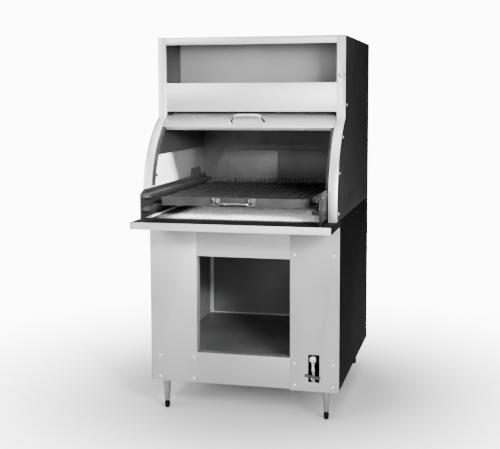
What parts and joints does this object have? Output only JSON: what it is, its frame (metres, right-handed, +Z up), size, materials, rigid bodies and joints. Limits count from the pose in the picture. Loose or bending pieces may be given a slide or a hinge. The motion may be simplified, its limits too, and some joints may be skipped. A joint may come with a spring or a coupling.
{
  "type": "charbroiler grill",
  "caption": "Floor-standing gas charbroiler with a roll-top hood, slide-out bar grate on racks, front shelf, warming recess above and open storage below.",
  "frame": {"origin": "centre of the footprint at floor level", "axes": "+Z up, -Y towards the cook, +X to the cook's right"},
  "size_m": [0.914, 1.334, 1.793],
  "materials": {
    "black_enamel": "semi-gloss black baked enamel on sheet steel",
    "stainless": "satin brushed stainless sheet",
    "bright_liner": "bright stainless lining with light soot at its top edge",
    "dark_lining": "dark, smoke-stained steel lining",
    "grey_panel": "dull grey steel sheet",
    "cast_iron": "seasoned black iron",
    "rack_steel": "mill-finish steel darkened by heat",
    "ceramic": "pale unglazed refractory",
    "plain_steel": "plain steel",
    "chrome": "polished chrome plate"
  },
  "bodies": {
    "cabinet": {"base_back": "black_enamel", "base_frame": "plain_steel", "base_side_left": "black_enamel", "base_side_right": "black_enamel", "bottom_rail": "stainless", "briquette_tray": "plain_steel", "briquettes_front": "ceramic", "briquettes_rear": "ceramic", "burner": "cast_iron", "burner_valve": "chrome", "chamber_side_left": "dark_lining", "chamber_side_right": "dark_lining", "compartment_back": "dark_lining", "compartment_floor": "dark_lining", "compartment_side_left": "dark_lining", "compartment_side_right": "dark_lining", "compartment_top": "dark_lining", "door_track_left": "rack_steel", "door_track_right": "rack_steel", "firebox": "plain_steel", "front_panel": "stainless", "front_shelf": "black_enamel", "front_stile_left": "stainless", "front_stile_right": "stainless", "gas_manifold": "plain_steel", "gas_supply_pipe": "plain_steel", "hood_back": "black_enamel", "hood_side_left": "black_enamel", "hood_side_right": "black_enamel", "hood_strip_left": "stainless", "hood_strip_right": "stainless", "leg_back_left": "stainless", "leg_back_right": "stainless", "leg_front_left": "stainless", "leg_front_right": "stainless", "main_cock": "chrome", "rack_left": "rack_steel", "rack_right": "rack_steel", "rear_shield_left": "grey_panel", "rear_shield_right": "grey_panel", "rear_wall": "dark_lining", "recess_back": "grey_panel", "shelf_nosing": "stainless", "side_liner_left": "bright_liner", "side_liner_right": "bright_liner", "top_band": "stainless", "top_panel": "black_enamel", "top_rail": "stainless", "warming_shelf": "grey_panel"},
    "door": {"door": "stainless", "door_handle": "chrome"},
    "grate_drawer": {"grate": "cast_iron", "grate_handle": "chrome"},
    "burner_knob": {"burner_knob": "chrome"},
    "cock_lever": {"cock_lever": "plain_steel"},
    "damper_pull": {"damper_knob": "chrome"},
    "foot_front_left": {"foot_front_left": "cast_iron"},
    "foot_front_right": {"foot_front_right": "cast_iron"},
    "foot_back_left": {"foot_back_left": "cast_iron"},
    "foot_back_right": {"foot_back_right": "cast_iron"}
  },
  "joints": [
    {"name": "door_roll", "type": "hinge", "parent": "cabinet", "child": "door", "pos_m": [0, -0.046, 1.016], "axis": [1, 0, 0], "range_deg": [0, 41]},
    {"name": "grate_slide", "type": "slide", "parent": "cabinet", "child": "grate_drawer", "axis": [0, -1, 0], "range_m": [0, 0.4]},
    {"name": "burner_knob_turn", "type": "hinge", "parent": "cabinet", "child": "burner_knob", "pos_m": [0.334, -0.4, 0.295], "axis": [0, -1, 0], "range_deg": [0, 90]},
    {"name": "cock_lever_turn", "type": "hinge", "parent": "cabinet", "child": "cock_lever", "pos_m": [0.334, -0.4, 0.213], "axis": [0, -1, 0], "range_deg": [0, 90]},
    {"name": "damper_slide", "type": "slide", "parent": "cabinet", "child": "damper_pull", "axis": [0, -1, 0], "range_m": [0, 0.04]},
    {"name": "foot_front_left_turn", "type": "hinge", "parent": "cabinet", "child": "foot_front_left", "pos_m": [-0.392, -0.358, 0.03], "axis": [0, 0, 1], "continuous": true},
    {"name": "foot_front_right_turn", "type": "hinge", "parent": "cabinet", "child": "foot_front_right", "pos_m": [0.392, -0.358, 0.03], "axis": [0, 0, 1], "continuous": true},
    {"name": "foot_back_left_turn", "type": "hinge", "parent": "cabinet", "child": "foot_back_left", "pos_m": [-0.392, 0.626, 0.03], "axis": [0, 0, 1], "continuous": true},
    {"name": "foot_back_right_turn", "type": "hinge", "parent": "cabinet", "child": "foot_back_right", "pos_m": [0.392, 0.626, 0.03], "axis": [0, 0, 1], "continuous": true}
  ]
}
